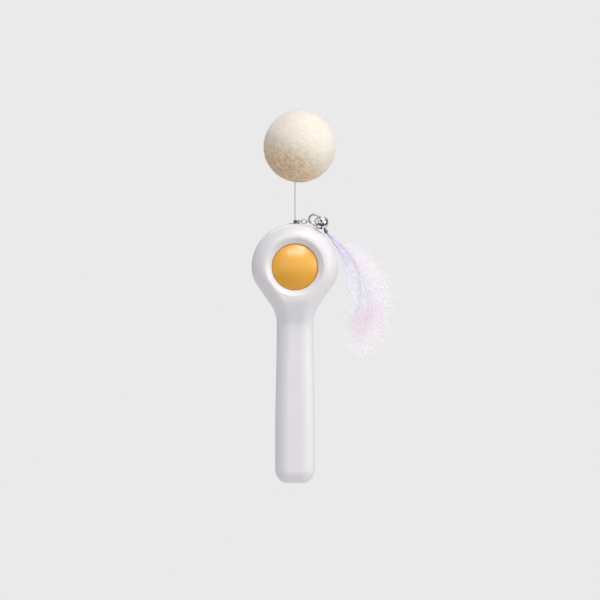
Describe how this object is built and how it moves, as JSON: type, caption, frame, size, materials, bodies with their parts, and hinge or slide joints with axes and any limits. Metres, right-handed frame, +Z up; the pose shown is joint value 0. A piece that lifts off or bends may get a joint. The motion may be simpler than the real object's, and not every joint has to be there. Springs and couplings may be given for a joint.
{
  "type": "automatic cat teaser",
  "caption": "Hand-held cat teaser: round head with a push button and motor reel, slim handle, and a line end with a felt ball on a springy wire, a bell and feathers on a clasp.",
  "frame": {"origin": "on the casing's axis at the flat end of the handle, where the two shells meet", "axes": "+Z up along the handle to the head, +Y out of the flat back, -Y out of the push button, +X to the right in the front view"},
  "size_m": [0.0897, 0.0436, 0.2236],
  "materials": {
    "shell_white": "satin white moulded plastic with a fine matt grain",
    "yolk_yellow": "glossy egg-yolk yellow",
    "white_nylon": "natural nylon, satin",
    "gear_blue": "dyed acetal, satin",
    "board_green": "green solder mask",
    "black_plastic": "matt black",
    "steel": "plated steel",
    "spring_steel": "drawn wire",
    "chrome": "bright nickel plate",
    "brass": "turned brass",
    "cell_wrap": "plain printed sleeve on a steel can",
    "line_braid": "fine braided line",
    "lead_red": "soft insulation",
    "lead_black": "soft insulation",
    "felt_cream": "felted wool",
    "quill_horn": "horny feather shaft",
    "feather_pink": "down and feather barbs, pale pink",
    "feather_lilac": "down and feather barbs, pale lilac"
  },
  "bodies": {
    "casing": {"front_shell": "shell_white", "rear_shell": "shell_white", "case_screw_1": "steel", "case_screw_2": "steel", "case_screw_3": "steel", "case_screw_4": "steel", "switch_housing": "black_plastic", "button_spring": "spring_steel", "circuit_board": "board_green", "board_screw_1": "steel", "board_screw_2": "steel", "control_chip": "black_plastic", "capacitor": "steel", "chassis": "white_nylon", "spool_axle": "steel", "drive_motor": "steel", "reel_line": "line_braid", "battery_cell_1": "cell_wrap", "battery_cell_2": "cell_wrap", "negative_contact": "steel", "positive_contact": "steel", "contact_spring": "spring_steel", "battery_lead_red": "lead_red", "battery_lead_black": "lead_black", "motor_lead_red": "lead_red", "motor_lead_black": "lead_black", "line_eyelet": "steel"},
    "button": {"yolk_button": "yolk_yellow", "switch_plunger": "yolk_yellow"},
    "spool": {"spool": "white_nylon", "line_winding": "line_braid", "crown_gear": "gear_blue"},
    "rotor": {"motor_shaft": "steel", "motor_pinion": "brass"},
    "line_end": {"line_ferrule": "steel"},
    "door": {"battery_door": "shell_white"},
    "ball": {"leader_wire": "spring_steel", "felt_ball": "felt_cream"},
    "link_1": {"chain_link_1": "chrome"},
    "link_2": {"chain_link_2": "chrome"},
    "clasp": {"snap_clasp": "chrome"},
    "gate": {"clasp_gate": "chrome"},
    "bell": {"bell_upper": "chrome", "bell_lower": "chrome"},
    "pellet": {"bell_pellet": "steel"},
    "feather": {"feather_cap": "steel", "feather_quill_outer": "quill_horn", "feather_quill_inner": "quill_horn", "feather_plume_outer": "feather_pink", "feather_plume_inner": "feather_lilac"}
  },
  "joints": [
    {"name": "button_press", "type": "slide", "parent": "casing", "child": "button", "axis": [0, 1, 0], "range_m": [0, 0.0014], "stiffness_N_per_m": 800, "deforming": ["button_spring"]},
    {"name": "spool_turn", "type": "hinge", "parent": "casing", "child": "spool", "pos_m": [0, 0, 0.1295], "axis": [0, 1, 0], "range_deg": [0, 4583.66]},
    {"name": "motor_turn", "type": "hinge", "parent": "casing", "child": "rotor", "pos_m": [0, 0.002, 0.1118], "axis": [0, 0, 1], "range_deg": [0, 27502]},
    {"name": "line_out", "type": "slide", "parent": "casing", "child": "line_end", "axis": [0, 0, 1], "range_m": [0, 0.592], "deforming": ["reel_line"]},
    {"name": "battery_door_slide", "type": "slide", "parent": "casing", "child": "door", "axis": [0, 0, -1], "range_m": [0, 0.097]},
    {"name": "ball_sway", "type": "hinge", "parent": "line_end", "child": "ball", "pos_m": [0, 0, 0.1577], "axis": [0, -1, 0], "range_deg": [-20, 20], "stiffness_Nm_per_rad": 0.13},
    {"name": "link_1_swing", "type": "hinge", "parent": "line_end", "child": "link_1", "pos_m": [0.0018, 0, 0.1568], "axis": [0, -1, 0], "range_deg": [0, 18]},
    {"name": "link_2_swing", "type": "hinge", "parent": "link_1", "child": "link_2", "pos_m": [0.00407, 0, 0.1568], "axis": [0, -1, 0], "range_deg": [0, 15]},
    {"name": "clasp_swing", "type": "hinge", "parent": "link_2", "child": "clasp", "pos_m": [0.00683, 0, 0.1568], "axis": [0, -1, 0], "range_deg": [0, 20]},
    {"name": "gate_press", "type": "hinge", "parent": "clasp", "child": "gate", "pos_m": [0.01266, 0, 0.15361], "axis": [0, 1, 0], "range_deg": [0, 25], "stiffness_Nm_per_rad": 0.002},
    {"name": "bell_swing", "type": "hinge", "parent": "clasp", "child": "bell", "pos_m": [0.01574, 0, 0.15854], "axis": [-1, 0, 0], "range_deg": [0, 60]},
    {"name": "pellet_roll", "type": "hinge", "parent": "bell", "child": "pellet", "pos_m": [0.01574, -0.00508, 0.15611], "axis": [1, 0, 0], "range_deg": [-40, 40]},
    {"name": "feather_swing", "type": "hinge", "parent": "clasp", "child": "feather", "pos_m": [0.01711, 0, 0.15396], "axis": [0, -1, 0], "range_deg": [0, 35]}
  ],
  "couplings": [
    {"joint": "spool_turn", "follows": "line_out", "rad_per_m": 135.13},
    {"joint": "motor_turn", "follows": "line_out", "rad_per_m": 810.81}
  ]
}
